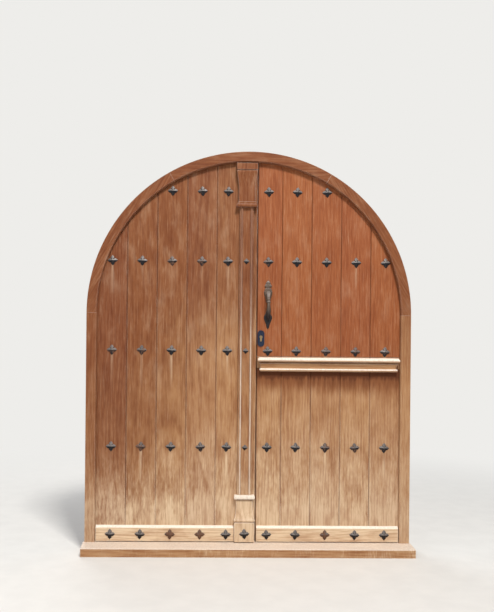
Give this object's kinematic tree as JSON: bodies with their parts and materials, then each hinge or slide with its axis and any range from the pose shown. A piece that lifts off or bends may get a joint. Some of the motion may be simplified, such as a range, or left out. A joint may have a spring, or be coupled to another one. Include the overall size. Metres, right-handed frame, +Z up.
{
  "type": "arched plank door",
  "caption": "Round-arched plank door in a wooden frame, with a full-height left leaf, a right leaf split into two halves, forged studs, weather ledge and strap hinges.",
  "frame": {"origin": "underside of the sill, in the middle of the doorway, in the plane of the planks' outer face", "axes": "+X to the right seen from outside, +Y into the building, +Z up"},
  "size_m": [1.814, 0.232, 2.2179],
  "materials": {
    "plank_wood": "weathered oil",
    "framing_wood": "planed",
    "moulding_wood": "weathered, bleached on its upper faces",
    "frame_wood": "weathered",
    "sill_wood": "bleached",
    "stud_iron": "forged, dark, a little rust",
    "forged_iron": "forged, waxed black",
    "blued_iron": "blue-black paint",
    "lock_steel": "zinc plated",
    "brass": "satin"
  },
  "bodies": {
    "frame": {"left_post": "frame_wood", "right_post": "frame_wood", "arch_left": "frame_wood", "arch_crown": "frame_wood", "arch_right": "frame_wood", "sill": "sill_wood", "pintles": "forged_iron", "top_bolt_keep": "forged_iron"},
    "left_leaf": {"left_plank_1": "plank_wood", "left_plank_2": "plank_wood", "left_plank_3": "plank_wood", "left_plank_4": "plank_wood", "left_plank_5": "plank_wood", "left_hinge_stile": "framing_wood", "left_meeting_stile": "framing_wood", "left_arch_rail": "framing_wood", "left_rails": "framing_wood", "left_kick_rail": "moulding_wood", "pilaster": "moulding_wood", "pilaster_base": "moulding_wood", "pilaster_capital": "moulding_wood", "left_studs": "stud_iron", "pilaster_studs": "stud_iron", "left_straps": "forged_iron", "left_bolt_guides": "forged_iron", "strike_plate": "lock_steel"},
    "upper_leaf": {"upper_plank_1": "plank_wood", "upper_plank_2": "plank_wood", "upper_plank_3": "plank_wood", "upper_plank_4": "plank_wood", "upper_plank_5": "plank_wood", "upper_hinge_stile": "framing_wood", "upper_meeting_stile": "framing_wood", "upper_arch_rail": "framing_wood", "upper_rails": "framing_wood", "upper_studs": "stud_iron", "upper_straps": "forged_iron", "pull_handle": "forged_iron", "escutcheons": "blued_iron", "lock_case": "lock_steel", "lock_cylinder": "brass", "half_bolt_keep": "forged_iron"},
    "lower_leaf": {"lower_plank_1": "plank_wood", "lower_plank_2": "plank_wood", "lower_plank_3": "plank_wood", "lower_plank_4": "plank_wood", "lower_plank_5": "plank_wood", "lower_hinge_stile": "framing_wood", "lower_meeting_stile": "framing_wood", "lower_rails": "framing_wood", "lower_kick_rail": "moulding_wood", "weather_ledge": "moulding_wood", "lower_studs": "stud_iron", "lower_straps": "forged_iron", "half_bolt_guides": "forged_iron"},
    "top_bolt": {"top_bolt": "forged_iron"},
    "bottom_bolt": {"bottom_bolt": "forged_iron"},
    "half_bolt": {"half_bolt": "forged_iron"},
    "deadbolt": {"deadbolt": "lock_steel"},
    "key_plug": {"key_plug": "brass"}
  },
  "joints": [
    {"name": "left_swing", "type": "hinge", "parent": "frame", "child": "left_leaf", "pos_m": [-0.8555, 0.066, 0], "axis": [0, 0, 1], "range_deg": [0, 100]},
    {"name": "upper_swing", "type": "hinge", "parent": "frame", "child": "upper_leaf", "pos_m": [0.8555, 0.066, 0], "axis": [0, 0, -1], "range_deg": [0, 100]},
    {"name": "lower_swing", "type": "hinge", "parent": "frame", "child": "lower_leaf", "pos_m": [0.8555, 0.066, 0], "axis": [0, 0, -1], "range_deg": [0, 100]},
    {"name": "top_bolt_slide", "type": "slide", "parent": "left_leaf", "child": "top_bolt", "axis": [0, 0, 1], "range_m": [0, 0.03]},
    {"name": "bottom_bolt_slide", "type": "slide", "parent": "left_leaf", "child": "bottom_bolt", "axis": [0, 0, -1], "range_m": [0, 0.03]},
    {"name": "half_bolt_slide", "type": "slide", "parent": "lower_leaf", "child": "half_bolt", "axis": [0, 0, 1], "range_m": [0, 0.03]},
    {"name": "key_turn", "type": "hinge", "parent": "upper_leaf", "child": "key_plug", "pos_m": [0.067, 0, 1.192], "axis": [0, -1, 0], "range_deg": [0, 360]},
    {"name": "deadbolt_slide", "type": "slide", "parent": "upper_leaf", "child": "deadbolt", "axis": [-1, 0, 0], "range_m": [0, 0.02]}
  ],
  "couplings": [
    {"joint": "deadbolt_slide", "follows": "key_turn", "m_per_rad": 0.00318}
  ]
}
